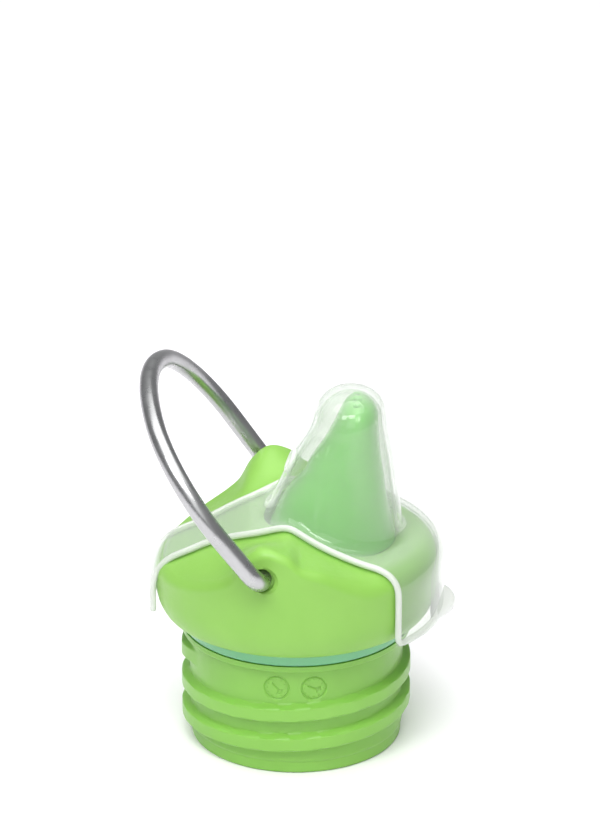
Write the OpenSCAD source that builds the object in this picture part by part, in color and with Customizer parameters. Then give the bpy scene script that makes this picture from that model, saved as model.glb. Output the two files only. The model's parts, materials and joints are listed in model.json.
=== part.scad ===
// Screw-in sippy cap for a wide-mouth children's bottle.
// Origin: thread axis, at the plug's bottom rim. +Z up, +X towards the spout.
// The cap is the same on both sides of the XZ plane, apart from its right-hand thread.

/* [Neck] */
// Outside radius of the threaded plug's plain wall
neck_r = 20.0; // [19.5:0.1:20.5]
// Radius over the thread's crest
crest_r = 21.5; // [21.3:0.1:21.8]
// Rise of the thread in one turn
pitch = 6.07; // [5.5:0.01:6.5]
// Turns of thread
turns = 2.25; // [1.5:0.05:2.3]
// Thickness of the plug's wall
plug_wall = 2.0; // [1.5:0.1:3]

/* [Shell] */
// Outside radius of the shell's wall
shell_r = 26.2; // [25.8:0.1:26.4]
// Height of the shell's underside above the plug's bottom rim
shell_z = 25.6; // [25:0.1:26]
// Radius of the soft edge round the humps
hump_round = 1.6; // [1:0.1:2.4]

/* [Bail] */
// Diameter of the bail's wire
wire_d = 3.5; // [3:0.1:3.5]
// Distance from the pivot to the middle of the wire at the top of the arch
bail_reach = 35.8; // [35.4:0.1:37]
// Tilt of the bail at rest, from upright towards the back of the cap
bail_tilt = 36.1; // [30:0.1:45]
// Radial play of the wire in its bearing
pivot_play = 0.07; // [0.03:0.01:0.1]

/* [Dust cover] */
// Thickness of the cover's skirt and strap
cover_wall = 1.1; // [0.9:0.1:1.3]
// Gap between the cover and the shell
cover_gap = 0.3; // [0.25:0.05:0.4]
// Half width of the strap over the thread axis
strap_half = 12.2; // [11.8:0.1:13]
// Half width that the strap gains for each millimetre towards the spout
strap_flare = 0.375; // [0.33:0.005:0.39]

/* [Spout] */
// Wall thickness of the silicone spout
spout_wall = 1.6; // [1.2:0.1:2]
// Diameter of each drinking hole
hole_d = 1.4; // [1:0.1:1.6]

/* [Hidden] */
round_fn = 96;
loft_fn = 36;
// How far the cutting shapes reach past the cap, sideways and upwards
past = 30;
past_top = 70;

// Plug: the lip that carries the seal, and the spigot that is welded into the shell
pilot_r = neck_r - 0.3;
pilot_h = 2.4;
plug_bore_r = neck_r - plug_wall;
lip_r = 21.4;
lip_z = 21.2;
seal_z = 22.5;
seal_r = 21.3;
spigot_z = 31;
dial_z = 17.5;
dial_r = 2.4;
dial_depth = 0.25;
dial_line = 0.3;
dial_turns = [-9.3, 10.6];
dial_ticks = [-40, -25];

// Thread: where it starts, how it fades in and out, and its section about the plain wall
thread_start = 116;
thread_front_z = 6.6;
thread_fade = 22;
thread_step = 9;
thread_root = 0.5;
thread_section = [[0, 1.75], [1.4, 1.45], [2, 1.1], [2, -1.1], [1.4, -1.45], [0, -1.75]];
thread_runout = 0.1;

// Shell: the height of its top along the edge of the strap, and along the humps' rims
strap_line = [[-28, 34.2], [-24.5, 36], [-20, 37.9], [-15.5, 40], [-11, 41.8], [-6.5, 43.3],
              [-2.5, 44.85], [-0.8, 45], [1.5, 43.9], [4.5, 42.5], [8, 41.3], [12.5, 40.15],
              [16, 39.75], [28, 39.7]];
rim_line = [[-28, 34], [-17.5, 37.6], [-11.5, 40.7], [-9, 44.6], [-5.6, 47], [-1, 45.7],
            [1.2, 43.7], [5.3, 42.2], [9.6, 40.4], [13, 39.4], [18.5, 39.3], [28, 39.3]];
strap_back = 6.1;
shell_foot_r = 23.4;
shell_foot_h = 5.6;
socket_r = neck_r + 0.02;
socket_roof = 35.8;
seat_x = 6.5;
seat_r = 12.5;
seat_z = 39.5;
floor_z = 37.8;
flange_pocket_r = 11.7;
neck_hole_r = 9.5;
shoulder_round = 3.5;
shoulder_z = 39.7;

// Pivot
pivot_x = -5.8;
pivot_z = 41.7;
bearing_r = wire_d / 2 + pivot_play;
mouth_r = 2.3;
bearing_end_y = 21.7;
mouth_y = 24.6;
wire_end_y = 22;

// Bail arch, followed from one end: a tight bend, a leg that leans out, a wide corner and a
// flat top. A heading is the wire's direction, counted from +Y
leg_y = 29;
bend_r = 4;
leg_heading = 85.2;
corner_r = 20.8;
top_heading = leg_heading + 72.7;
bend_y = leg_y - bend_r;
top_rise = (1 + cos(top_heading)) / sin(top_heading);
corner_in = corner_r * (sin(leg_heading) - sin(top_heading));
corner_up = corner_r * (cos(leg_heading) - cos(top_heading));
leg_foot = [bend_y + bend_r * sin(leg_heading), bend_r * (1 - cos(leg_heading))];
leg_length = (bail_reach - leg_foot[1] - corner_up - (leg_foot[0] - corner_in) * top_rise)
    / (sin(leg_heading) + cos(leg_heading) * top_rise);
leg_end = leg_foot + leg_length * [cos(leg_heading), sin(leg_heading)];
top_r = (leg_end[0] - corner_in) / sin(top_heading);
stub_lap = 1.5;
bend_wire_r = wire_d / 2 - 0.01;
wire_sides = 20;

// Cover
cover_in_r = shell_r + cover_gap;
cover_r = cover_in_r + cover_wall;
skirt_right_z = 25.8;
skirt_left_z = 26.5;
dome_wall = 0.9;
vent_z = 54.5;
vent_r = 1.6;
vent_rim_r = 2.4;
vent_rim_h = 0.5;
vent_face_x = -0.8;
vent_lean = 67;
tab_r = 10.3;
tab_x = 19.5;
tab_h = 1.4;

// Rings of the two soft cones: height, least X, greatest X, half width across
dome_rings = [[40.5, -8.3, 20.3, 13.6], [42, -7, 19.9, 13.3], [45, -5.6, 19.5, 12.6],
              [50.5, -3.1, 18.7, 11.3], [56, -0.4, 17.9, 10.1], [61.5, 2.6, 16.9, 9.1],
              [64.5, 3.4, 16.6, 8.6], [66.5, 4.3, 15.9, 7.6], [67.7, 5.7, 14.6, 6],
              [68.3, 7.5, 12.9, 3.9]];
spout_rings = [[seat_z, -5.6, 18.6, 12.1], [43, -4.6, 17.9, 11.3], [48, -2.1, 16.8, 9.9],
               [52.3, 1.3, 16.2, 8.7], [55, 2.7, 15.8, 8.1], [58.5, 5, 15.4, 7.5],
               [62, 6.9, 15.2, 7], [64.5, 8, 15, 6.6], [65.9, 8.8, 14.2, 5.6],
               [66.8, 9.8, 12.9, 4.1]];
dome_crown_z = 64;
flange_z = 36.2;
flange_r = 11.4;
spout_neck_r = 9.4;
lumen_r = 7.6;
hole_pitch = 3.4;
tip_x = 11.2;

// Height of a smooth curve through points, at x
function span_at(p, x, i = 0) = i >= len(p) - 2 || x < p[i + 1][0] ? i : span_at(p, x, i + 1);
function slope_at(p, i) =
    let (a = max(i - 1, 0), b = min(i + 1, len(p) - 1)) (p[b][1] - p[a][1]) / (p[b][0] - p[a][0]);
function curve_at(p, x) =
    let (i = span_at(p, x), w = p[i + 1][0] - p[i][0])
    let (t = min(1, max(0, (x - p[i][0]) / w)), t2 = t * t, t3 = t2 * t)
    (2 * t3 - 3 * t2 + 1) * p[i][1] + (t3 - 2 * t2 + t) * w * slope_at(p, i)
    + (3 * t2 - 2 * t3) * p[i + 1][1] + (t3 - t2) * w * slope_at(p, i + 1);
function ease(t) = let (c = min(1, max(0, t))) c * c * (3 - 2 * c);
function strap_w(x) = max(strap_back, strap_half + strap_flare * x);

// Top of the shell at (x, y): level across the strap, rising to the humps, soft at the wall
function edge_round(x) = hump_round + (shoulder_round - hump_round) * ease((x - 4) / 12);
function edge_drop(r, e) = e - sqrt(max(0, e * e - pow(max(0, r - shell_r + e), 2)));
function shell_top(x, y) =
    let (r = min(shell_r, norm([x, y])), wall_y = sqrt(max(0, shell_r * shell_r - x * x)))
    let (t = (abs(y) - strap_w(x)) / max(2, wall_y - strap_w(x)))
    let (strap = curve_at(strap_line, x), rim = max(curve_at(rim_line, x), strap - 2.5))
    strap + (rim + 0.4 - strap) * ease((t - 0.08) / 0.8) - edge_drop(r, edge_round(x));

// A closed skin over rings of points, all with the same count
module skin(rings) {
    n = len(rings[0]);
    m = len(rings);
    sides = [for (i = [0:m - 2], j = [0:n - 1])
        [i * n + j, i * n + (j + 1) % n, (i + 1) * n + (j + 1) % n, (i + 1) * n + j]];
    halves = [for (q = sides) each [[q[2], q[1], q[0]], [q[3], q[2], q[0]]]];
    caps = [[for (j = [0:n - 1]) j], [for (j = [n - 1:-1:0]) (m - 1) * n + j]];
    polyhedron([for (r = rings) each r], concat(halves, caps));
}

// A skin over level ovals: height, least X, greatest X, half width across
module oval_skin(rings) {
    skin([for (r = rings) let (mid = (r[1] + r[2]) / 2, a = (r[2] - r[1]) / 2)
        [for (j = [0:loft_fn - 1])
            [mid + a * cos(360 * j / loft_fn), r[3] * sin(360 * j / loft_fn), r[0]]]]);
}

// The dome's outside, or its inside when drawn in by a wall; its sides start at foot
module dome(wall = 0, foot = dome_rings[0][0]) {
    oval_skin([for (r = dome_rings) let (base = r == dome_rings[0])
        [base ? foot : r[0] - wall * ease((r[0] - dome_crown_z) / 3),
         r[1] + wall, r[2] - wall, r[3] - wall]]);
}

// Everything above the shell's top surface
module above_shell() {
    radii = [1, 8, 14, 18, 21, 23, 24.4, 25.3, 25.8, 26.1, 26.25, past];
    skin(concat(
        [for (r = radii) [for (j = [0:71]) let (x = r * cos(5 * j), y = r * sin(5 * j))
            [x, y, shell_top(x, y)]]],
        [[for (j = [0:71]) [past * cos(5 * j), past * sin(5 * j), past_top]]]));
}

module thread() {
    sweep = 360 * turns;
    skin([for (i = [0:sweep / thread_step])
        let (a = i * thread_step, phi = thread_start + a)
        let (run = ease(a / thread_fade) * ease((sweep - a) / thread_fade))
        let (fade = thread_runout + (1 - thread_runout) * run)
        let (z = thread_front_z + pitch * (phi - 270) / 360)
        [for (p = thread_section)
            let (r = neck_r - thread_root + p[0] * (crest_r - neck_r + thread_root) / 2 * fade)
            [r * cos(phi), r * sin(phi), z + p[1] * (0.5 + 0.5 * fade)]]]);
}

// Date dial: a sunk ring with a pointer
module dial(turn, tick) {
    rotate([0, 0, turn]) translate([0, dial_depth - neck_r, dial_z]) rotate([90, 0, 0]) {
        difference() {
            cylinder(h = 1, r = dial_r, $fn = 48);
            translate([0, 0, -1]) cylinder(h = 3, r = dial_r - dial_line, $fn = 48);
        }
        rotate([0, 0, tick]) translate([0, 0, 0.5])
            cube([dial_r * 1.1, dial_line, 1], center = true);
    }
}

module threaded_plug() {
    color("limegreen") difference() {
        union() {
            rotate_extrude($fn = round_fn) polygon([
                [plug_bore_r, 0], [pilot_r, 0], [pilot_r, pilot_h], [neck_r, pilot_h],
                [neck_r, lip_z], [lip_r, lip_z], [lip_r, seal_z], [neck_r, seal_z],
                [neck_r, spigot_z], [plug_bore_r, spigot_z]]);
            thread();
        }
        for (i = [0, 1]) dial(dial_turns[i], dial_ticks[i]);
    }
}

module neck_seal() {
    color("mediumaquamarine") rotate_extrude($fn = round_fn)
        polygon([[neck_r, seal_z], [seal_r - 0.3, seal_z], [seal_r, seal_z + 0.5],
                 [seal_r, shell_z - 0.5], [seal_r - 0.3, shell_z], [neck_r, shell_z]]);
}

// The drum before its top is shaped
module drum() {
    rotate_extrude($fn = round_fn) polygon(concat(
        [[0, shell_z], [shell_foot_r, shell_z]],
        [for (a = [0:15:90]) [shell_foot_r + (shell_r - shell_foot_r) * sin(a),
                              shell_z + shell_foot_h * (1 - cos(a))]],
        [[shell_r, 52], [0, 52]]));
}

module pivot_hole(side) {
    translate([pivot_x, 0, pivot_z]) rotate([-90 * side, 0, 0]) {
        translate([0, 0, bearing_end_y]) cylinder(h = 10, r = bearing_r, $fn = 48);
        translate([0, 0, mouth_y]) cylinder(h = 10, r = mouth_r, $fn = 48);
    }
}

module cap_shell() {
    color("yellowgreen") difference() {
        drum();
        above_shell();
        strap_channel();
        translate([0, 0, shell_z - 1])
            cylinder(h = socket_roof - shell_z + 1, r = socket_r, $fn = round_fn);
        translate([seat_x, 0, seat_z]) cylinder(h = 12, r = seat_r, $fn = round_fn);
        translate([seat_x, 0, socket_roof - 1]) cylinder(h = 12, r = neck_hole_r, $fn = round_fn);
        translate([seat_x, 0, socket_roof - 1])
            cylinder(h = floor_z - socket_roof + 1, r = flange_pocket_r, $fn = round_fn);
        for (side = [-1, 1]) pivot_hole(side);
    }
}

// A ring of the spout's flange and neck, round about the seat's centre
function round_ring(z, r) = [z, seat_x - r, seat_x + r, r];

// The spout's skin, from the crown of its lumen down to the flange and up its outside
module spout() {
    lumen = [for (i = [len(spout_rings) - 2:-1:1]) let (r = spout_rings[i])
        [r[0] - spout_wall * ease((r[0] - 60) / 6), r[1] + spout_wall, r[2] - spout_wall,
         r[3] - spout_wall]];
    root = [round_ring(seat_z, lumen_r + 0.4), round_ring(flange_z, lumen_r),
            round_ring(flange_z, flange_r), round_ring(floor_z, flange_r),
            round_ring(floor_z, spout_neck_r), round_ring(seat_z, spout_neck_r)];
    color("lightgreen") difference() {
        oval_skin(concat(lumen, root, spout_rings));
        for (i = [-1:1]) translate([tip_x, i * hole_pitch, 60])
            cylinder(h = 10, r = hole_d / 2, $fn = 24);
    }
}

// Everything under a line in the XZ plane, as wide as the cap
module under_line(line, rise, low = 20) {
    rotate([90, 0, 0]) translate([0, 0, -past]) linear_extrude(2 * past) polygon(concat(
        [[28, low], [-28, low]],
        [for (x = [-28:1.4:28]) [x, curve_at(line, x) + rise]]));
}

// A drum with a round shoulder, from the skirt's foot up, and a cone that clears the strap
module shoulder_drum(r, top, edge, low) {
    rotate_extrude($fn = round_fn) polygon(concat(
        [[0, low], [r, low]],
        [for (a = [0:10:90]) [r - edge + edge * cos(a), top - edge + edge * sin(a)]],
        [[r - edge - 6, top + 8], [0, top + 8]]));
}

// The strap's outline from above, made wider all round by spread
module strap_plan(spread = 0) {
    xs = [-past, (strap_back - strap_half) / strap_flare, past];
    linear_extrude(past_top) polygon(concat(
        [for (x = xs) [x, -strap_w(x) - spread]],
        [for (i = [2:-1:0]) [xs[i], strap_w(xs[i]) + spread]]));
}

// The space over the shell that the cover's strap lies in
module strap_channel() {
    difference() {
        strap_plan(cover_gap);
        under_line(strap_line, 0);
    }
}

// The drum's round shoulder cut to the strap line: the cover's outside or its inside
module cover_skin(r, rise, low) {
    intersection() {
        shoulder_drum(r, shoulder_z + rise, shoulder_round + rise - cover_gap, low);
        under_line(strap_line, rise);
    }
}

// Places its children on the dome's back face, looking outwards
module vent_axis() {
    translate([vent_face_x, 0, vent_z]) rotate([0, -vent_lean, 0]) children();
}

module dust_cover() {
    color([0.93, 0.96, 0.93, 0.5]) difference() {
        union() {
            intersection() {
                cover_skin(cover_r, cover_gap + cover_wall, skirt_right_z);
                strap_plan();
            }
            dome();
            vent_axis() translate([0, 0, -dome_wall])
                cylinder(h = dome_wall + vent_rim_h, r = vent_rim_r, $fn = 40);
            translate([tab_x, 0, skirt_right_z])
                cylinder(h = tab_h, r = tab_r, $fn = round_fn);
        }
        cover_skin(cover_in_r, cover_gap, 0);
        dome(dome_wall, seat_z - 3);
        translate([-40, -20, 0]) cube([30, 40, skirt_left_z]);
        vent_axis() translate([0, 0, -4]) cylinder(h = 6, r = vent_r, $fn = 40);
    }
}

// The wire's path in the bail's plane, as [y, s, heading], from one end to the top
function arc_path(y, c, r, from, to, n) =
    [for (i = [0:n]) let (a = from + (to - from) * i / n) [y + r * cos(a), c + r * sin(a), a + 90]];
half_path = concat([[bend_y - stub_lap, 0, 0]],
    arc_path(bend_y, bend_r, bend_r, -90, leg_heading - 90, 9),
    arc_path(leg_end[0] - corner_r * sin(leg_heading), leg_end[1] + corner_r * cos(leg_heading),
             corner_r, leg_heading - 90, top_heading - 90, 12),
    arc_path(0, bail_reach - top_r, top_r, top_heading - 90, 90, 6));
path_turn = len(half_path) - 2;
wire_path = concat(half_path,
    [for (i = [path_turn:-1:0]) [-half_path[i][0], half_path[i][1], 360 - half_path[i][2]]]);

// The bent wire, and a true round stub at each end for its bearing
module bail() {
    color("silver") translate([pivot_x, 0, pivot_z]) rotate([0, -bail_tilt, 0]) {
        skin([for (p = wire_path) [for (j = [0:wire_sides - 1])
            let (a = 360 * j / wire_sides, out = bend_wire_r * cos(a))
            [-bend_wire_r * sin(a), p[0] + out * sin(p[2]), p[1] - out * cos(p[2])]]]);
        for (side = [-1, 1]) rotate([-90 * side, 0, 0]) translate([0, 0, wire_end_y])
            cylinder(h = bend_y - wire_end_y, d = wire_d, $fn = 48);
    }
}

threaded_plug();
neck_seal();
cap_shell();
spout();
dust_cover();
bail();
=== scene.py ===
"""Looks for a screw-in sippy cap: soft spout, clear dust cover, wire bail, threaded plug."""

import json
import math

import bmesh
import bpy
import numpy as np
from mathutils import Matrix, Vector


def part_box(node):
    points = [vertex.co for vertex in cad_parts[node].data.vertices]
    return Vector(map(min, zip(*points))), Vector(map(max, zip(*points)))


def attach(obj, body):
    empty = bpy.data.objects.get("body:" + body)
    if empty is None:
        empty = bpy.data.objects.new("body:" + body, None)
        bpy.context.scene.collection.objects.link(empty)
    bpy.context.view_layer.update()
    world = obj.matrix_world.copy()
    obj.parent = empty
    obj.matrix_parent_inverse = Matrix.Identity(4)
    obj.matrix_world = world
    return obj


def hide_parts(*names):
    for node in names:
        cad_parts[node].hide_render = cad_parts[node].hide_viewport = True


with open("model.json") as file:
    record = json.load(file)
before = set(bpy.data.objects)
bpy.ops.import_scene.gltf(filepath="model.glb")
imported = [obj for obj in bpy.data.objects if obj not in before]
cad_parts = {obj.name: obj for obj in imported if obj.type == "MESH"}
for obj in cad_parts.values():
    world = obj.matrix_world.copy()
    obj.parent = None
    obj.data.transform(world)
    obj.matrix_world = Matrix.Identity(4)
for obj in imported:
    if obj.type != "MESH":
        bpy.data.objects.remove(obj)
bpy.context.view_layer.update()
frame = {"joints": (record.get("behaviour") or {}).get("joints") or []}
MM = 0.001

# ---------------------------------------------------------------- driving sizes, in millimetres
JOINTS = {j["name"]: j for j in frame["joints"]}
PIVOT_X, _, PIVOT_Z = (c / MM for c in JOINTS["bail_swing"]["pos_m"])


def edges(node):
    """Lowest and highest corners of a CAD node, in millimetres."""
    low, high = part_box(node)
    return np.array(low) / MM, np.array(high) / MM


_, PLUG_HIGH = edges("threaded_plug")
SEAL_LOW, SEAL_HIGH = edges("neck_seal")
SHELL_LOW, SHELL_HIGH = edges("cap_shell")
COVER_LOW, COVER_HIGH = edges("dust_cover")

CREST_R = PLUG_HIGH[0]
NECK_R = CREST_R - 1.5
PILOT_R = NECK_R - 0.3
PILOT_H = 2.4
BORE_R = NECK_R - 2
LIP_R = 21.4
LIP_Z = 21.2
SPIGOT_Z = PLUG_HIGH[2]
SEAL_Z = SEAL_LOW[2]
SEAL_R = SEAL_HIGH[0]
SHELL_Z = SHELL_LOW[2]
SHELL_R = SHELL_HIGH[0]
COVER_R = -COVER_LOW[0]
COVER_WALL = 1.1
COVER_GAP = COVER_R - COVER_WALL - SHELL_R
COVER_RISE = COVER_GAP + COVER_WALL
TAB_X = COVER_HIGH[0]
TAB_R = 10.3
WIRE_R = 1.75
BAIL_TILT = math.radians(36.1)

THREAD = {"start": 116, "front_z": 6.6, "pitch": 6.07, "turns": 2.25, "fade": 22}
DIAL_Z = 17.5
DIAL_R = 2.25
DIALS = ((260.7, 130), (280.6, 155))

STRAP_LINE = ((-28, 34.2), (-24.5, 36), (-20, 37.9), (-15.5, 40), (-11, 41.8), (-6.5, 43.3),
              (-2.5, 44.85), (-0.8, 45), (1.5, 43.9), (4.5, 42.5), (8, 41.3), (12.5, 40.15),
              (16, 39.75), (28, 39.7))
RIM_LINE = ((-28, 34), (-17.5, 37.6), (-11.5, 40.7), (-9, 44.6), (-5.6, 47), (-1, 45.7),
            (1.2, 43.7), (5.3, 42.2), (9.6, 40.4), (13, 39.4), (18.5, 39.3), (28, 39.3))
STRAP_HALF, STRAP_FLARE, STRAP_BACK = 12.2, 0.375, 6.1
STRAP_KINK = (STRAP_BACK - STRAP_HALF) / STRAP_FLARE
HUMP_ROUND, SHOULDER_ROUND = 1.6, 3.5
SHELL_FOOT_R, SHELL_FOOT_H = 23.4, 5.6
SEAT_X, SEAT_R, SEAT_Z, FLOOR_Z, ROOF_Z = 6.5, 12.5, 39.5, 37.8, 35.8
NECK_HOLE_R, FLANGE_POCKET_R = 9.5, 11.7

# Ovals of the two soft cones: height, least X, greatest X, half width across
DOME_RINGS = ((40.5, -8.3, 20.3, 13.6), (42, -7, 19.9, 13.3), (45, -5.6, 19.5, 12.6),
              (50.5, -3.1, 18.7, 11.3), (56, -0.4, 17.9, 10.1), (61.5, 2.6, 16.9, 9.1),
              (64.5, 3.4, 16.6, 8.6), (66.5, 4.3, 15.9, 7.6), (67.7, 5.7, 14.6, 6),
              (68.3, 7.5, 12.9, 3.9))
SPOUT_RINGS = ((SEAT_Z, -5.6, 18.6, 12.1), (43, -4.6, 17.9, 11.3), (48, -2.1, 16.8, 9.9),
               (52.3, 1.3, 16.2, 8.7), (55, 2.7, 15.8, 8.1), (58.5, 5, 15.4, 7.5),
               (62, 6.9, 15.2, 7), (64.5, 8, 15, 6.6), (65.9, 8.8, 14.2, 5.6),
               (66.8, 9.8, 12.9, 4.1))


# ---------------------------------------------------------------- curves
def ease(t):
    c = np.clip(t, 0, 1)
    return c * c * (3 - 2 * c)


def smooth_through(points, x):
    """Height at x of a smooth curve through points, as the CAD part draws it."""
    p = np.array(points, float)
    i = np.clip(np.searchsorted(p[:, 0], x, side="right") - 1, 0, len(p) - 2)
    before, after = np.maximum(np.arange(len(p)) - 1, 0), np.minimum(np.arange(len(p)) + 1, len(p) - 1)
    slope = (p[after, 1] - p[before, 1]) / (p[after, 0] - p[before, 0])
    w = p[i + 1, 0] - p[i, 0]
    t = np.clip((x - p[i, 0]) / w, 0, 1)
    return ((2 * t**3 - 3 * t**2 + 1) * p[i, 1] + (t**3 - 2 * t**2 + t) * w * slope[i]
            + (3 * t**2 - 2 * t**3) * p[i + 1, 1] + (t**3 - t**2) * w * slope[i + 1])


def strap_w(x):
    return np.maximum(STRAP_BACK, STRAP_HALF + STRAP_FLARE * x)


def edge_drop(r, outer, edge):
    """How far a round edge lies under a flat top, at radius r."""
    return edge - np.sqrt(np.maximum(0, edge**2 - np.maximum(0, r - outer + edge) ** 2))


def shell_top(x, y):
    """Top of the shell before its outer edge is rounded."""
    strap = smooth_through(STRAP_LINE, x)
    rim = np.maximum(smooth_through(RIM_LINE, x), strap - 2.5)
    wall_y = np.sqrt(np.maximum(0, SHELL_R**2 - x * x))
    t = (np.abs(y) - strap_w(x)) / np.maximum(2, wall_y - strap_w(x))
    return strap + (rim + 0.4 - strap) * ease((t - 0.08) / 0.8)


def shell_edge(x):
    return HUMP_ROUND + (SHOULDER_ROUND - HUMP_ROUND) * ease((x - 4) / 12)


def rings_between(rings, count):
    """Evenly spaced ovals on a smooth curve through the given ones."""
    p = np.array(rings, float)
    step = np.linalg.norm(np.diff(p, axis=0), axis=1)
    s = np.concatenate([[0], np.cumsum(step)])
    at = np.linspace(0, s[-1], count)
    return np.stack([smooth_through(np.stack([s, p[:, k]], 1), at) for k in range(4)], 1)


def oval(ring, phi):
    """Points round an oval ring: x, y, z."""
    z, left, right, half = ring
    return np.stack([(left + right) / 2 + (right - left) / 2 * np.cos(phi), half * np.sin(phi),
                     np.full_like(phi, z)], 1)


# ---------------------------------------------------------------- mesh making
def turn(n):
    return np.linspace(0, 2 * math.pi, n, endpoint=False)


def make(name, points, faces, material, body, slot, sharp=40):
    """A mesh object from points in millimetres."""
    mesh = bpy.data.meshes.new(name)
    mesh.from_pydata((np.asarray(points) * MM).tolist(), [], faces)
    mesh.validate()
    obj = bpy.data.objects.new(name, mesh)
    bpy.context.scene.collection.objects.link(obj)
    obj.data.materials.append(material)
    settle(obj, sharp)
    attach(obj, body)
    return obj


def settle(obj, sharp=40):
    """Faces outwards, smooth shading, and creases where faces meet at more than sharp degrees."""
    bm = bmesh.new()
    bm.from_mesh(obj.data)
    bmesh.ops.remove_doubles(bm, verts=bm.verts, dist=1e-7)
    bmesh.ops.recalc_face_normals(bm, faces=bm.faces)
    bm.to_mesh(obj.data)
    bm.free()
    obj.data.shade_smooth()
    obj.data.set_sharp_from_angle(angle=math.radians(sharp))


def loop_faces(rows, n, closed=False):
    """Quads between rows of n points each, all the way round."""
    out = []
    last = rows if closed else rows - 1
    for i in range(last):
        a, b = i * n, (i + 1) % rows * n
        out += [(a + j, a + (j + 1) % n, b + (j + 1) % n, b + j) for j in range(n)]
    return out


def lathe(profile, n):
    """A closed ring of revolution from a closed outline of (r, z)."""
    phi = turn(n)
    rows = [np.stack([r * np.cos(phi), r * np.sin(phi), np.full(n, z)], 1) for r, z in profile]
    return np.concatenate(rows), loop_faces(len(profile), n, closed=True)


def stack(rows, cap_first=True, cap_last=True):
    """A skin over rows of points, with flat caps."""
    n = len(rows[0])
    faces = loop_faces(len(rows), n)
    if cap_first:
        faces.append(tuple(range(n - 1, -1, -1)))
    if cap_last:
        faces.append(tuple((len(rows) - 1) * n + j for j in range(n)))
    return np.concatenate(rows), faces


def round_corners(outline, radius, steps=5):
    """A closed outline with each corner turned into a small arc."""
    p = np.array(outline, float)
    out = []
    for i, corner in enumerate(p):
        a, b = p[i - 1] - corner, p[(i + 1) % len(p)] - corner
        la, lb = np.linalg.norm(a), np.linalg.norm(b)
        cut = min(radius, 0.45 * la, 0.45 * lb)
        start, end = corner + a / la * cut, corner + b / lb * cut
        for t in np.linspace(0, 1, steps):
            out.append((1 - t) ** 2 * start + 2 * t * (1 - t) * corner + t * t * end)
    return out


def tool(points, faces):
    mesh = bpy.data.meshes.new("tool")
    mesh.from_pydata((np.asarray(points) * MM).tolist(), [], faces)
    obj = bpy.data.objects.new("tool", mesh)
    bpy.context.scene.collection.objects.link(obj)
    settle(obj)
    return obj


UPRIGHT = Matrix.Identity(4)


def round_tool(profile, n=64, at=(0, 0, 0), lean=UPRIGHT):
    """A cutter of revolution: profile is (r, height) from one end to the other."""
    phi = turn(n)
    rows = [np.stack([r * np.cos(phi), r * np.sin(phi), np.full(n, h)], 1) for r, h in profile]
    obj = tool(*stack(rows))
    obj.data.transform(Matrix.Translation(Vector(at) * MM) @ lean)
    return obj


def cut(obj, tools, operation="DIFFERENCE", sharp=40):
    """Cuts obj with each tool and removes the tools."""
    for t in tools:
        m = obj.modifiers.new("cut", "BOOLEAN")
        m.operation, m.object, m.solver = operation, t, "EXACT"
        apply_modifiers(obj)
        bpy.data.objects.remove(t)
    obj.data.shade_smooth()
    obj.data.set_sharp_from_angle(angle=math.radians(sharp))


def apply_modifiers(obj):
    depsgraph = bpy.context.evaluated_depsgraph_get()
    mesh = bpy.data.meshes.new_from_object(obj.evaluated_get(depsgraph))
    obj.modifiers.clear()
    obj.data = mesh


def tube(path, radius, sides=12, closed=False, caps=True):
    """A round tube along a smooth path of points."""
    p = np.asarray(path, float)
    if closed:
        along = np.roll(p, -1, 0) - np.roll(p, 1, 0)
    else:
        along = np.gradient(p, axis=0)
    along /= np.linalg.norm(along, axis=1)[:, None]
    side = np.cross(along[0], (0.31, 0.87, 0.4))
    rows = []
    for point, heading in zip(p, along):
        side = side - heading * np.dot(side, heading)
        side /= np.linalg.norm(side)
        up = np.cross(heading, side)
        phi = turn(sides)[:, None]
        rows.append(point + radius * (np.cos(phi) * side + np.sin(phi) * up))
    if closed:
        return np.concatenate(rows), loop_faces(len(rows), sides, closed=True)
    return stack(rows, caps, caps)


# ---------------------------------------------------------------- materials
class Nodes:
    """A material's node tree, with short ways to add and join nodes."""

    def __init__(self, name):
        self.material = bpy.data.materials.new(name)
        self.material.use_nodes = True
        self.tree = self.material.node_tree
        self.shader = self.tree.nodes["Principled BSDF"]
        self.place = self.add("ShaderNodeTexCoord").outputs["Object"]

    def add(self, kind, **values):
        node = self.tree.nodes.new(kind)
        for key, value in values.items():
            setattr(node, key, value)
        return node

    def link(self, a, b):
        self.tree.links.new(a, b)

    def set(self, **values):
        for key, value in values.items():
            self.shader.inputs[key.replace("_", " ")].default_value = value

    def noise(self, scale, detail=4, rough=0.5, stretch=None):
        node = self.add("ShaderNodeTexNoise")
        node.inputs["Scale"].default_value = scale
        node.inputs["Detail"].default_value = detail
        node.inputs["Roughness"].default_value = rough
        place = self.place
        if stretch:
            mapping = self.add("ShaderNodeMapping")
            mapping.inputs["Scale"].default_value = stretch
            self.link(place, mapping.inputs["Vector"])
            place = mapping.outputs["Vector"]
        self.link(place, node.inputs["Vector"])
        return node.outputs["Fac"]

    def ramp(self, source, low, high, a, b):
        """Maps source from low..high to a..b, a colour or a number."""
        if isinstance(a, (tuple, list)):
            node = self.add("ShaderNodeValToRGB")
            node.color_ramp.elements[0].position, node.color_ramp.elements[1].position = low, high
            node.color_ramp.elements[0].color, node.color_ramp.elements[1].color = (*a, 1), (*b, 1)
            self.link(source, node.inputs["Fac"])
            return node.outputs["Color"]
        node = self.add("ShaderNodeMapRange")
        for key, value in (("From Min", low), ("From Max", high), ("To Min", a), ("To Max", b)):
            node.inputs[key].default_value = value
        self.link(source, node.inputs["Value"])
        return node.outputs["Result"]

    def bump(self, source, distance, strength=1.0):
        node = self.add("ShaderNodeBump")
        node.inputs["Distance"].default_value = distance
        node.inputs["Strength"].default_value = strength
        self.link(source, node.inputs["Height"])
        self.link(node.outputs["Normal"], self.shader.inputs["Normal"])


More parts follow.
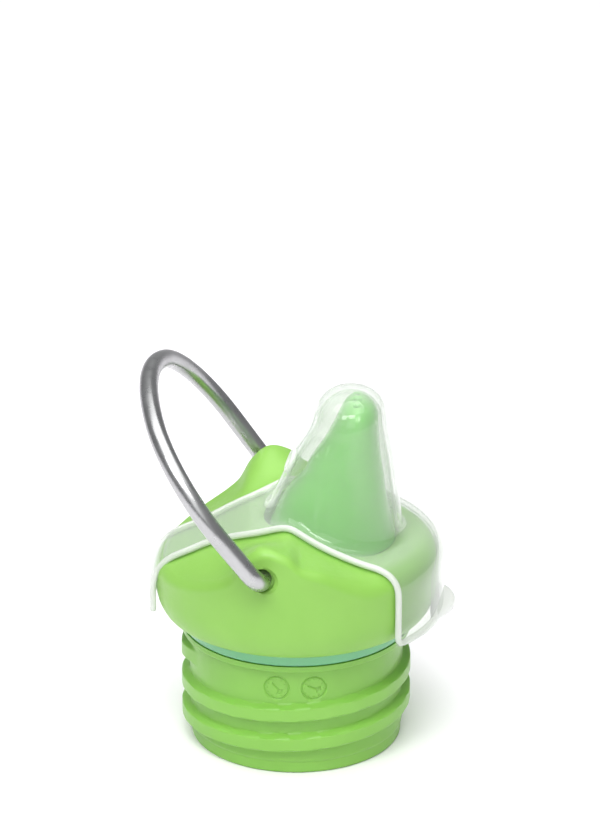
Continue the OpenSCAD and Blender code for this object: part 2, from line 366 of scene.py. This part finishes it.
def moulded_plastic(name, colour, shade, rough=0.38):
    """Satin polypropylene: faint flow marks in its colour, fine spark-eroded grain in its gloss."""
    m = Nodes(name)
    m.set(Subsurface_Weight=0.12, Subsurface_Radius=(0.6, 1.0, 0.3), Subsurface_Scale=0.0012,
          IOR=1.49, Specular_IOR_Level=0.42)
    m.link(m.ramp(m.noise(70, 3, 0.55), 0.3, 0.7, shade, colour), m.shader.inputs["Base Color"])
    grain = m.noise(5200, 2, 0.6)
    m.link(m.ramp(m.noise(900, 4, 0.6), 0.3, 0.7, rough - 0.05, rough + 0.07),
           m.shader.inputs["Roughness"])
    m.bump(grain, 0.00002, 0.35)
    return m.material


def soft_silicone(name, colour, shade, rough=0.2):
    """Silicone rubber: light goes a little way in, and the skin is wet-looking."""
    m = Nodes(name)
    m.set(Subsurface_Weight=0.35, Subsurface_Radius=(0.6, 1.0, 0.45), Subsurface_Scale=0.002,
          IOR=1.43, Coat_Weight=0.7, Coat_Roughness=0.06)
    m.link(m.ramp(m.noise(55, 3, 0.5), 0.3, 0.7, shade, colour), m.shader.inputs["Base Color"])
    m.link(m.ramp(m.noise(420, 3, 0.5), 0.3, 0.7, rough, rough + 0.08),
           m.shader.inputs["Roughness"])
    m.bump(m.noise(260, 2, 0.5), 0.00006, 0.3)
    return m.material


def clear_plastic(name, haze, edge_haze, rough, milk):
    """Clear polypropylene: a gloss over a faint milky haze, which thickens where it is seen edge on."""
    m = Nodes(name)
    m.set(IOR=1.49, Roughness=0.5, Specular_IOR_Level=0.0)
    m.link(m.ramp(m.noise(60, 3, 0.5), 0.3, 0.7, [0.94 * c for c in milk], milk),
           m.shader.inputs["Base Color"])
    clear = m.add("ShaderNodeBsdfTransparent")
    clear.inputs["Color"].default_value = (0.92, 0.937, 0.91, 1)
    gloss = m.add("ShaderNodeBsdfGlossy")
    gloss.inputs["Color"].default_value = (1, 1, 1, 1)
    m.link(m.ramp(m.noise(300, 3, 0.5), 0.3, 0.7, rough, rough + 0.05), gloss.inputs["Roughness"])
    ripple = m.add("ShaderNodeBump")
    ripple.inputs["Distance"].default_value = 0.00008
    ripple.inputs["Strength"].default_value = 0.3
    m.link(m.noise(110, 2, 0.5), ripple.inputs["Height"])
    m.link(ripple.outputs["Normal"], gloss.inputs["Normal"])
    facing = m.add("ShaderNodeLayerWeight")
    facing.inputs["Blend"].default_value = 0.5
    steep = m.add("ShaderNodeMath", operation="POWER")
    steep.inputs[1].default_value = 3.5
    m.link(facing.outputs["Facing"], steep.inputs[0])
    body = m.add("ShaderNodeMixShader")
    m.link(m.ramp(steep.outputs[0], 0.0, 1.0, haze, edge_haze), body.inputs["Fac"])
    m.link(clear.outputs[0], body.inputs[1])
    m.link(m.shader.outputs[0], body.inputs[2])
    fresnel = m.add("ShaderNodeFresnel")
    fresnel.inputs["IOR"].default_value = 1.45
    outward = m.add("ShaderNodeMath", operation="SUBTRACT")
    outward.inputs[0].default_value = 1
    m.link(m.add("ShaderNodeNewGeometry").outputs["Backfacing"], outward.inputs[1])
    mirror = m.add("ShaderNodeMath", operation="MULTIPLY")
    m.link(fresnel.outputs[0], mirror.inputs[0])
    m.link(outward.outputs[0], mirror.inputs[1])
    skin = m.add("ShaderNodeMixShader")
    m.link(mirror.outputs[0], skin.inputs["Fac"])
    m.link(body.outputs[0], skin.inputs[1])
    m.link(gloss.outputs[0], skin.inputs[2])
    m.link(skin.outputs[0], m.tree.nodes["Material Output"].inputs["Surface"])
    return m.material


def brushed_wire(name):
    """Satin stainless wire: fine scratches round it, and duller rubbed patches."""
    m = Nodes(name)
    m.set(Metallic=1.0, Anisotropic=0.4)
    m.link(m.ramp(m.noise(120, 3, 0.5), 0.3, 0.7, (0.40, 0.405, 0.405), (0.48, 0.485, 0.485)),
           m.shader.inputs["Base Color"])
    m.link(m.ramp(m.noise(500, 3, 0.5), 0.3, 0.7, 0.26, 0.32), m.shader.inputs["Roughness"])
    m.bump(m.noise(2600, 3, 0.6, (1, 1, 6)), 0.000006, 0.25)
    return m.material


SHELL_GREEN = moulded_plastic("shell_green", (0.24, 0.49, 0.085), (0.22, 0.46, 0.075))
PLUG_GREEN = moulded_plastic("plug_green", (0.225, 0.49, 0.08), (0.21, 0.465, 0.072), 0.34)
SPOUT_GREEN = soft_silicone("spout_green", (0.24, 0.62, 0.16), (0.22, 0.59, 0.145))
SEAL_TEAL = soft_silicone("seal_teal", (0.16, 0.50, 0.24), (0.14, 0.46, 0.21), 0.3)
COVER_CLEAR = clear_plastic("cover_clear", 0.08, 0.75, 0.07, (0.80, 0.87, 0.79))
# Whiter, much hazier clear plastic for the cover's edge bead, vent rim and pull tab. This is a painted
# highlight: it stands in for the bright glints that light makes along clear plastic's edges.
COVER_RIM_PAINTED_GLINT = clear_plastic("cover_rim_painted_glint", 0.5, 0.85, 0.1, (0.9, 0.91, 0.89))
WIRE_STEEL = brushed_wire("wire_steel")


# ---------------------------------------------------------------- threaded plug
def thread_height(phi, z):
    """How far the thread stands out of the plug's wall, phi in degrees."""
    t = THREAD
    height = np.zeros(np.broadcast(phi, z).shape)
    sweep = 360 * t["turns"]
    for lap in range(4):
        a = (phi - t["start"]) % 360 + 360 * lap
        centre = t["front_z"] + t["pitch"] * (a + t["start"] - 270) / 360
        fade = ease(a / t["fade"]) * ease((sweep - a) / t["fade"])
        flank = ease((1.9 - np.abs(z - centre)) / 0.75)
        height = np.maximum(height, (CREST_R - NECK_R) * flank * np.where(a <= sweep, fade, 0))
    return height


def dial_depth(phi, z):
    """Sunk ring, pointer and tick marks of the two date dials."""
    depth = np.zeros(np.broadcast(phi, z).shape)
    for centre, heading in DIALS:
        across = np.radians((phi - centre + 180) % 360 - 180) * NECK_R
        up = z - DIAL_Z
        far = np.hypot(across, up)
        ring = ease((0.22 - np.abs(far - DIAL_R)) / 0.14)
        c, s = math.cos(math.radians(heading)), math.sin(math.radians(heading))
        along, beside = across * c + up * s, np.abs(-across * s + up * c)
        pointer = ease((0.2 - beside) / 0.12) * ease((1.35 - np.abs(along)) / 0.15)
        head = ease((0.5 - 0.9 * np.abs(along + 0.95) - beside * 0.55) / 0.12) * (along < -0.6)
        marks = np.zeros_like(depth)
        for k in range(12):
            b = math.radians(30 * k)
            out = across * math.cos(b) + up * math.sin(b)
            off = -across * math.sin(b) + up * math.cos(b)
            tick = ease((0.13 - np.abs(off)) / 0.08) * ease((0.2 - np.abs(out - 1.8)) / 0.1)
            marks = np.maximum(marks, tick)
        depth = np.maximum(depth, np.maximum(np.maximum(ring, pointer), np.maximum(head, 0.7 * marks)))
        depth = np.maximum(depth, 0.25 * ease((DIAL_R - far) / 0.2))
    return 0.28 * depth


def plug_wall_radius(z):
    """Plain outside radius of the plug at height z: rim, pilot, wall, lip, spigot."""
    rim = 0.5 - np.sqrt(np.maximum(0, 0.25 - np.maximum(0, 0.5 - z) ** 2))
    base = PILOT_R + (NECK_R - PILOT_R) * ease((z - PILOT_H) / 0.3) - rim
    lip = (LIP_R - NECK_R) * ease((z - LIP_Z + 0.35) / 0.7) * (z <= SEAL_Z)
    return base + lip


def build_plug():
    fine = np.arange(251, 288, 0.32)
    coarse = np.arange(288, 288 + 360 - 37, 2.0)
    phi = np.concatenate([fine, coarse])
    z = np.unique(np.round(np.concatenate([
        np.linspace(0, 0.5, 6), np.arange(0.8, 15.3, 0.26), np.arange(15.3, 20.7, 0.11),
        np.arange(20.7, SEAL_Z, 0.15), [SEAL_Z - 0.02, SEAL_Z, SEAL_Z + 0.02, SPIGOT_Z]]), 3))
    rows = []
    for level in z:
        r = plug_wall_radius(level) + thread_height(phi, level) - dial_depth(phi, level)
        if level > SEAL_Z:
            r = np.full_like(phi, NECK_R)
        rows.append((r, level))
    inner = [(BORE_R, SPIGOT_Z), (BORE_R, 20.0), (BORE_R, 8.0), (BORE_R, 0.4), (BORE_R + 0.4, 0.0)]
    rows += [(np.full_like(phi, r), level) for r, level in inner]
    a = np.radians(phi)
    points = np.concatenate([np.stack([r * np.cos(a), r * np.sin(a), np.full_like(a, level)], 1)
                             for r, level in rows])
    faces = loop_faces(len(rows), len(phi), closed=True)
    plug = make("plug_moulding", points, faces, PLUG_GREEN, "cap", "plug_plastic", 50)
    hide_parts("threaded_plug")


def build_seal():
    outline = [(NECK_R + 0.03, SEAL_Z + 0.02), (SEAL_R, SEAL_Z + 0.02),
               (SEAL_R, SHELL_Z - 0.02), (NECK_R + 0.03, SHELL_Z - 0.02)]
    seal = make("seal_ring", *lathe(round_corners(outline, 0.5), 160), SEAL_TEAL, "cap",
                "seal_silicone", 60)
    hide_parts("neck_seal")


# ---------------------------------------------------------------- shell
def build_shell():
    n = 300
    phi = turn(n)
    c, s = np.cos(phi), np.sin(phi)
    rows = []
    for r in np.concatenate([[0.05], np.arange(1.5, 17, 1.0), np.arange(17, 22.2, 0.5)]):
        rows.append(np.stack([r * c, r * s, shell_top(r * c, r * s)], 1))
    for r in np.arange(22.6, SHELL_R - 1.6, 0.35):
        x, y = r * c, r * s
        rows.append(np.stack([x, y, shell_top(x, y) - edge_drop(r, SHELL_R, shell_edge(x))], 1))
    start = SHELL_R - 1.6
    for k in np.linspace(0, 1, 14):
        edge = shell_edge(SHELL_R * c)
        first = np.arcsin(np.clip((start - SHELL_R + edge) / edge, 0, 1))
        angle = first + (math.pi / 2 - first) * k
        r = SHELL_R - edge + edge * np.sin(angle)
        x, y = r * c, r * s
        rows.append(np.stack([x, y, shell_top(x, y) - edge + edge * np.cos(angle)], 1))
    top = rows[-1][:, 2]
    for k in np.linspace(0.06, 1, 18):
        z = top + (SHELL_Z + SHELL_FOOT_H - top) * k
        rows.append(np.stack([SHELL_R * c, SHELL_R * s, z], 1))
    for a in np.linspace(85, 0, 14):
        r = SHELL_FOOT_R + (SHELL_R - SHELL_FOOT_R) * math.sin(math.radians(a))
        z = SHELL_Z + SHELL_FOOT_H * (1 - math.cos(math.radians(a)))
        rows.append(np.stack([r * c, r * s, np.full(n, z)], 1))
    rows.append(np.stack([22 * c, 22 * s, np.full(n, SHELL_Z)], 1))
    points, faces = stack(rows)
    shell = make("shell_moulding", points, faces, SHELL_GREEN, "cap", "shell_plastic")
    socket_r = NECK_R + 0.02
    tools = [
        round_tool([(socket_r, SHELL_Z - 2), (socket_r, ROOF_Z)], 160),
        round_tool([(SEAT_R, SEAT_Z), (SEAT_R, 52)], 120, at=(SEAT_X, 0, 0)),
        round_tool([(NECK_HOLE_R, ROOF_Z - 1), (NECK_HOLE_R, SEAT_Z + 1)], 96, at=(SEAT_X, 0, 0)),
        round_tool([(FLANGE_POCKET_R, ROOF_Z - 1), (FLANGE_POCKET_R, FLOOR_Z)], 96, at=(SEAT_X, 0, 0)),
    ]
    mouth = [(1.82, 21.7), (1.82, 24.5), (2.3, 24.6), (2.3, 25.25), (2.36, 25.45), (2.5, 25.62),
             (2.8, 25.8), (3.4, 26.4)]
    for side in (-1, 1):
        lean = Matrix.Rotation(side * math.pi / 2, 4, "X")
        tools.append(round_tool(mouth, 64, (PIVOT_X, 0, PIVOT_Z), lean))
    cut(shell, tools, sharp=35)
    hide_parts("cap_shell")


# ---------------------------------------------------------------- spout
def build_spout():
    n = 96
    phi = turn(n)
    outer = rings_between(SPOUT_RINGS, 60)
    crown = [(66.95, 10.4, 12.3, 3.2), (67.0, 11.0, 11.7, 1.6)]
    inner = rings_between([(z - 1.6 * ease((z - 60) / 6), a + 1.6, b - 1.6, h - 1.6)
                           for z, a, b, h in SPOUT_RINGS[1:-1]], 40)[::-1]
    disc = lambda z, r: (z, SEAT_X - r, SEAT_X + r, r)
    root = [disc(SEAT_Z, 8), disc(36.2, 7.6), disc(36.2, 11.2), disc(36.4, 11.4),
            disc(37.6, 11.4), disc(FLOOR_Z - 0.01, 11.2), disc(FLOOR_Z - 0.01, 9.4),
            disc(SEAT_Z + 0.01, 9.4)]
    lip = [(SEAT_Z + 0.01, -5.4, 18.4, 11.9), (SEAT_Z + 0.15, -5.57, 18.57, 12.07)]
    rows = [oval(r, phi) for r in [*inner, *root, *lip, *outer[1:], *crown]]
    spout = make("spout_moulding", *stack(rows), SPOUT_GREEN, "cap", "spout_silicone", 55)
    hole = [(0.62, 60), (0.62, 66.3), (0.7, 66.7), (1.0, 66.95), (1.6, 67.4)]
    cut(spout, [round_tool(hole, 32, at=(11.2, k * 3.2, 0)) for k in (-1, 0, 1)], sharp=55)
    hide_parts("spout")


# ---------------------------------------------------------------- dust cover
# Radius of the cover's round shoulder, the same all the way round
SHOULDER = 4.6
VENT_X, VENT_Z, VENT_R, VENT_LEAN = -0.8, 54.5, 1.9, math.radians(67)
FOOT_Z = COVER_LOW[2]


def cover_top(x):
    return smooth_through(STRAP_LINE, x) + COVER_RISE


def cover_skin_rows(inset):
    """The cover's skin as if it went all round: dome, deck, shoulder and skirt, drawn in by inset.
    Inset 0 is the outside, and the wall's thickness is the inside."""
    n = 240
    phi = turn(n)
    crown = rings_between(DOME_RINGS, 90)[::-1]
    rows = [oval((68.5 - inset, 9.9, 10.7, 0.7), phi), oval((68.46 - inset, 9.4, 11.2, 1.9), phi)]
    for z, left, right, half in crown:
        level = z - inset * ease((z - 64) / 3)
        side = inset * (1 - 0.25 * ease((z - 66) / 2))
        rows.append(oval((level, left + side, right - side, half - side), phi))
    # cut each side of the dome off where it meets the deck, with a soft fillet
    grid = np.stack(rows)
    out = []
    blend = 2.2
    deck = cover_top(grid[:, :, 0]) - inset
    above = grid[:, :, 2] - deck
    keep = 64
    sides = np.zeros((keep, n, 3))
    for j in range(n):
        stop = np.argmax(above[:, j] < blend)
        at = np.linspace(0, stop, keep)
        for k in range(3):
            sides[:, j, k] = np.interp(at, np.arange(len(grid)), grid[:, j, k])
    out += list(sides)
    last, before = sides[-1], sides[-4]
    heading = last - before
    heading /= np.linalg.norm(heading, axis=1)[:, None]
    corner = last + heading * (blend * 1.02)
    middle = np.array([SEAT_X, 0])
    away = corner[:, :2] - middle
    away /= np.linalg.norm(away, axis=1)[:, None]
    landing = corner[:, :2] + away * 1.6
    land_z = cover_top(landing[:, 0]) - inset
    end = np.column_stack([landing, land_z])
    knee = corner.copy()
    knee[:, 2] = cover_top(corner[:, 0]) - inset
    for t in np.linspace(0.12, 1, 9):
        out.append((1 - t) ** 2 * last + 2 * t * (1 - t) * knee + t * t * end)
    r_out = COVER_R - inset
    edge = SHOULDER - inset
    inner_r = r_out - edge
    bearing = np.arctan2(landing[:, 1], landing[:, 0] - 3)
    rim = np.stack([inner_r * np.cos(bearing), inner_r * np.sin(bearing)], 1)
    for t in np.linspace(0.08, 1, 14):
        xy = landing * (1 - t) + rim * t
        out.append(np.column_stack([xy, cover_top(xy[:, 0]) - inset]))
    for a in np.linspace(9, 90, 10):
        r = inner_r + edge * math.sin(math.radians(a))
        xy = rim / inner_r * r
        drop = edge * (1 - math.cos(math.radians(a)))
        out.append(np.column_stack([xy, cover_top(xy[:, 0]) - inset - drop]))
    foot = FOOT_Z + 0.35 * (1 - np.cos(bearing))
    top = out[-1][:, 2]
    for t in np.linspace(0.1, 1, 10):
        out.append(np.column_stack([out[-1][:, :2], top + (foot - top) * t]))
    return out


def strap_prism():
    """The strap's outline from above, as a tall block."""
    x = (-31, STRAP_KINK, 31)
    corners = [(a, -float(strap_w(a))) for a in x] + [(a, float(strap_w(a))) for a in x[::-1]]
    return tool(*stack([np.array([(a, b, z) for a, b in corners]) for z in (15, 75)]))


def cover_edge_path(inset=0.0):
    """Along the near cut edge of the cover, from the back skirt's foot to the front one's."""
    radius = COVER_R - inset
    edge = SHOULDER - inset

    def on_edge(r, sign):
        """x where the strap's edge crosses radius r."""
        if sign < 0:
            return -math.sqrt(r * r - STRAP_BACK**2)
        a, b, c = 1 + STRAP_FLARE**2, 2 * STRAP_FLARE * STRAP_HALF, STRAP_HALF**2 - r * r
        return (-b + math.sqrt(b * b - 4 * a * c)) / (2 * a)

    path = []
    for sign in (-1, 1):
        part = []
        x = on_edge(radius, sign)
        top = float(cover_top(x)) - inset - edge
        foot = FOOT_Z + (0.7 if sign < 0 else 0.1)
        part += [(x, z) for z in np.linspace(foot + 0.3, top, 12)[:-1]]
        for a in np.linspace(90, 0, 9):
            r = radius - edge + edge * math.sin(math.radians(a))
            x = on_edge(r, sign)
            part.append((x, float(cover_top(x)) - inset - edge * (1 - math.cos(math.radians(a)))))
        path.append(part)
    left, right = path
    middle = [(x, float(cover_top(x)) - inset) for x in np.linspace(left[-1][0], right[-1][0], 60)[1:-1]]
    return [(x, -float(strap_w(x)) + 0.25, z) for x, z in left + middle + right[::-1]]


def smooth_path(points, passes=3):
    p = np.array(points, float)
    for _ in range(passes):
        p[1:-1] = 0.25 * p[:-2] + 0.5 * p[1:-1] + 0.25 * p[2:]
    return p


def build_cover():
    outside, inside = cover_skin_rows(0.0), cover_skin_rows(COVER_WALL - 0.15)
    n = len(outside[0])
    rows = outside + inside[::-1]
    points = np.concatenate(rows)
    faces = loop_faces(len(rows), n)
    faces += [tuple(range(n - 1, -1, -1)), tuple((len(rows) - 1) * n + j for j in range(n))]
    cover = make("cover_moulding", points, faces, COVER_CLEAR, "cover", "cover_plastic", 35)
    cut(cover, [strap_prism()], "INTERSECT", 35)
    lean = Matrix.Rotation(-VENT_LEAN, 4, "Y")
    cut(cover, [round_tool([(1.2, -3), (1.2, 3)], 40, (VENT_X, 0, VENT_Z), lean)], sharp=35)
    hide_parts("dust_cover")

    near = smooth_path(cover_edge_path(0.45), 2)
    far = near * (1, -1, 1)
    corners = []
    for end, sweep in ((near[-1], 1), (near[0], -1)):
        radius = math.hypot(end[0], end[1])
        a = math.atan2(abs(end[1]), end[0])
        span = np.linspace(-a, a, 24)[1:-1] if sweep > 0 else np.linspace(a, 2 * math.pi - a, 16)[1:-1]
        corners.append([(radius * math.cos(t), radius * math.sin(t), end[2]) for t in span])
    loop = np.concatenate([near, corners[0], far[::-1], corners[1]])
    loop = 0.25 * np.roll(loop, 1, 0) + 0.5 * loop + 0.25 * np.roll(loop, -1, 0)
    # The bead's whiter, hazier plastic is a painted highlight for the bright glint along the cover's cut
    # edge.
    make("cover_edge_bead", *tube(loop, 0.62, 12, closed=True), COVER_RIM_PAINTED_GLINT, "cover", "cover_plastic", 60)

    phi = turn(40)
    out, lift = VENT_R * np.cos(phi), 0.15
    c, s = math.cos(VENT_LEAN), math.sin(VENT_LEAN)
    boss = np.stack([VENT_X + out * c - lift * s, VENT_R * np.sin(phi), VENT_Z + out * s + lift * c], 1)
    # The vent rim's whiter, hazier plastic is a painted highlight for the vent's bright rim.
    make("vent_rim", *tube(boss, 0.55, 12, closed=True), COVER_RIM_PAINTED_GLINT, "cover", "cover_plastic", 60)
    build_tab()


def build_tab():
    """The pull tab: a round tongue that stands out of the front skirt's foot."""
    tab_r, thick = TAB_R, 1.4
    tab_x = TAB_X - tab_r
    root = COVER_R - 0.7
    mid = (root**2 - tab_r**2 + tab_x**2) / (2 * tab_x)
    half = math.sqrt(root**2 - mid**2)
    reach = math.atan2(half, mid - tab_x)
    inner = math.atan2(half, mid)
    rows = []
    for drawn, z in ((0.9, 0.03), (0.35, 0.03), (0.05, 0.25), (0.01, thick / 2), (0.05, thick - 0.25),
                     (0.35, thick - 0.03), (0.9, thick - 0.03)):
        a, b = np.linspace(-reach, reach, 40), np.linspace(inner, -inner, 40)
        r = tab_r - drawn
        rim = [(tab_x + r * math.cos(t), r * math.sin(t)) for t in a]
        back = [((root - 0.1) * math.cos(t), (root - 0.1) * math.sin(t)) for t in b]
        rows.append(np.array([(x, y, FOOT_Z + z) for x, y in rim + back]))
    make("pull_tab", *stack(rows), COVER_RIM_PAINTED_GLINT, "cover", "cover_plastic", 50)


# ---------------------------------------------------------------- bail
def turn_along(path, radius, heading, new_heading, steps):
    """Carries a path (y, s) on round an arc, from one heading to another, both counted from +Y."""
    y, s = path[-1]
    a = np.radians(np.linspace(heading, new_heading, steps + 1)[1:])
    start = math.radians(heading)
    return path + list(zip(y + radius * (np.sin(a) - math.sin(start)),
                           s - radius * (np.cos(a) - math.cos(start))))


def build_bail():
    """One wire: stubs, tight bends, legs that lean out, wide corners and a flat top."""
    bend_r, bend_y, leg_heading, corner_r, top_heading = 4, 25, 85.2, 20.8, 157.9
    leg_length, end_y = 7.88, 22
    path = turn_along([(end_y, 0), (end_y + 1.5, 0), (bend_y, 0)], bend_r, 0, leg_heading, 12)
    heading = math.radians(leg_heading)
    foot = path[-1]
    path += [(foot[0] + k * math.cos(heading), foot[1] + k * math.sin(heading))
             for k in np.linspace(0, leg_length, 6)[1:]]
    path = turn_along(path, corner_r, leg_heading, top_heading, 26)
    top_r = path[-1][0] / math.sin(math.radians(top_heading))
    path = np.array(turn_along(path, top_r, top_heading, 180, 14))
    path = np.concatenate([path, path[-2::-1] * (-1, 1)])
    lean = np.array([-math.sin(BAIL_TILT), 0, math.cos(BAIL_TILT)])
    points = np.array([PIVOT_X, 0, PIVOT_Z]) + path[:, 1:] * lean + path[:, :1] * np.array([0, 1, 0])
    bail = make("bail_wire", *tube(points, WIRE_R - 0.012, 32), WIRE_STEEL, "bail", "bail_wire", 50)
    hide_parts("bail")


# ---------------------------------------------------------------- studio
def build_studio():
    floor = bpy.data.meshes.new("floor")
    floor.from_pydata([(-3, -3, 0), (3, -3, 0), (3, 3, 0), (-3, 3, 0)], [], [(0, 1, 2, 3)])
    floor = bpy.data.objects.new("floor", floor)
    bpy.context.scene.collection.objects.link(floor)
    m = Nodes("pale_floor")
    m.set(Roughness=0.6)
    m.link(m.ramp(m.noise(3, 2, 0.5), 0.3, 0.7, (0.93, 0.91, 0.94), (0.94, 0.92, 0.95)),
           m.shader.inputs["Base Color"])
    floor.data.materials.append(m.material)

    world = bpy.data.worlds.new("soft_room")
    world.use_nodes = True
    world.node_tree.nodes["Background"].inputs["Color"].default_value = (0.97, 0.98, 1.0, 1)
    world.node_tree.nodes["Background"].inputs["Strength"].default_value = 0.32
    bpy.context.scene.world = world

    aim = Vector((0.003, 0, 0.04))
    for name, at, size, power in (("top", (-0.06, 0.1, 1.1), 1.4, 13.5), ("fill", (0.1, -1.3, 0.8), 0.9, 3.0),
                                  ("left_spot", (-0.28, -0.42, 0.62), 0.26, 2.2),
                                  ("right_spot", (0.06, -0.42, 0.66), 0.26, 2.2)):
        light = bpy.data.lights.new(name, "AREA")
        light.energy, light.size = power, size
        lamp = bpy.data.objects.new(name, light)
        lamp.location = at
        lamp.rotation_euler = (Vector(at) - aim).to_track_quat("Z", "Y").to_euler()
        bpy.context.scene.collection.objects.link(lamp)
    bpy.context.scene.view_settings.view_transform = "Standard"


def build_camera():
    """A long lens 0.8 m away, a little above, almost square on."""
    azimuth, height, distance = math.radians(1), math.radians(22.43), 0.8
    aim = Vector((0.00073, 0, 0.06266))
    back = Vector((math.sin(azimuth) * math.cos(height), -math.cos(azimuth) * math.cos(height),
                   math.sin(height)))
    data = bpy.data.cameras.new("camera")
    data.sensor_width = 36
    data.lens = 186.45
    data.clip_start = 0.05
    camera = bpy.data.objects.new("camera", data)
    camera.location = aim + back * distance
    camera.rotation_euler = back.to_track_quat("Z", "Y").to_euler()
    bpy.context.scene.collection.objects.link(camera)
    bpy.context.scene.camera = camera


build_camera()
build_studio()
build_plug()
build_seal()
build_shell()
build_spout()
build_cover()
build_bail()
